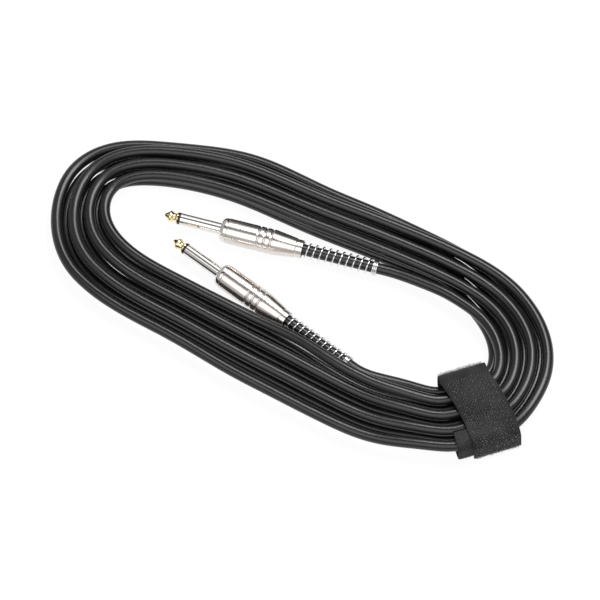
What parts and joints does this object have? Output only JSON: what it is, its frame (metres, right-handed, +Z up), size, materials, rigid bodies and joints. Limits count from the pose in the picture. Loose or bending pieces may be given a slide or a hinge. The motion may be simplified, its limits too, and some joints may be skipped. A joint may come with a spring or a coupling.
{
  "type": "instrument cable",
  "caption": "Coiled mono instrument cable with straight jack plugs that have screw-on metal barrels and bend-relief springs, tied with a hook-and-loop strap.",
  "frame": {"origin": "on the floor under the middle of the coil's outline", "axes": "+X along the coil's long axis, towards the strap; +Y across it; +Z up from the floor that the coil lies on"},
  "size_m": [0.2864, 0.127, 0.0182],
  "materials": {
    "cable_jacket": "satin black PVC",
    "strap_fabric": "black hook-and-loop tape, fuzzy loops at its edges",
    "gold_plate": "polished gold plate",
    "rod_brass": "drawn brass",
    "insulator_black": "black plastic",
    "insulator_natural": "natural nylon",
    "pin_nickel": "polished nickel plate",
    "barrel_nickel": "satin nickel plate",
    "lug_tin": "tinned sheet",
    "lug_brass": "brass sheet",
    "washer_fibre": "pressed fibre",
    "copper_wire": "bare copper strands",
    "core_insulation": "white polyethylene",
    "solder_tin": "solder",
    "spring_steel": "bright spring steel"
  },
  "bodies": {
    "coil": {"cable_coil": "cable_jacket", "lead_1": "cable_jacket", "lead_2": "cable_jacket", "strap_wrap": "strap_fabric", "plug_1_tip": "gold_plate", "plug_1_rod": "rod_brass", "plug_1_tip_ring": "insulator_black", "plug_1_core_tube": "insulator_natural", "plug_1_sleeve": "pin_nickel", "plug_1_ground_lug": "lug_tin", "plug_1_washer": "washer_fibre", "plug_1_tip_lug": "lug_brass", "plug_1_conductor": "copper_wire", "plug_1_core_insulation": "core_insulation", "plug_1_shield": "copper_wire", "plug_1_jacket_end": "cable_jacket", "plug_1_solder": "solder_tin", "plug_2_tip": "gold_plate", "plug_2_rod": "rod_brass", "plug_2_tip_ring": "insulator_black", "plug_2_core_tube": "insulator_natural", "plug_2_sleeve": "pin_nickel", "plug_2_ground_lug": "lug_tin", "plug_2_washer": "washer_fibre", "plug_2_tip_lug": "lug_brass", "plug_2_conductor": "copper_wire", "plug_2_core_insulation": "core_insulation", "plug_2_shield": "copper_wire", "plug_2_jacket_end": "cable_jacket", "plug_2_solder": "solder_tin"},
    "spring_1": {"plug_1_spring": "spring_steel", "plug_1_spring_seat": "lug_tin", "plug_1_spring_band": "spring_steel"},
    "barrel_1": {"plug_1_barrel": "barrel_nickel", "plug_1_liner": "insulator_black"},
    "spring_2": {"plug_2_spring": "spring_steel", "plug_2_spring_seat": "lug_tin", "plug_2_spring_band": "spring_steel"},
    "barrel_2": {"plug_2_barrel": "barrel_nickel", "plug_2_liner": "insulator_black"},
    "strap_tail": {"strap_tail": "strap_fabric"}
  },
  "joints": [
    {"name": "barrel_1_travel", "type": "slide", "parent": "coil", "child": "spring_1", "axis": [0.9796, 0.2011, 0], "range_m": [0, 0.00501]},
    {"name": "barrel_1_turn", "type": "hinge", "parent": "spring_1", "child": "barrel_1", "pos_m": [-0.05038, 0.0133, 0.0068], "axis": [0.9796, 0.2011, 0], "range_deg": [0, 1800]},
    {"name": "barrel_2_travel", "type": "slide", "parent": "coil", "child": "spring_2", "axis": [0.9823, -0.1874, 0], "range_m": [0, 0.00501]},
    {"name": "barrel_2_turn", "type": "hinge", "parent": "spring_2", "child": "barrel_2", "pos_m": [-0.03929, -0.01114, 0.0068], "axis": [0.9823, -0.1874, 0], "range_deg": [0, 1800]},
    {"name": "strap_tail_peel", "type": "hinge", "parent": "coil", "child": "strap_tail", "pos_m": [0.10194, -0.00924, 0.01663], "axis": [-0.7081, -0.7061, 0], "range_deg": [0, 120]}
  ],
  "couplings": [
    {"joint": "barrel_1_travel", "follows": "barrel_1_turn", "m_per_rad": 0.00015915},
    {"joint": "barrel_2_travel", "follows": "barrel_2_turn", "m_per_rad": 0.00015915}
  ]
}
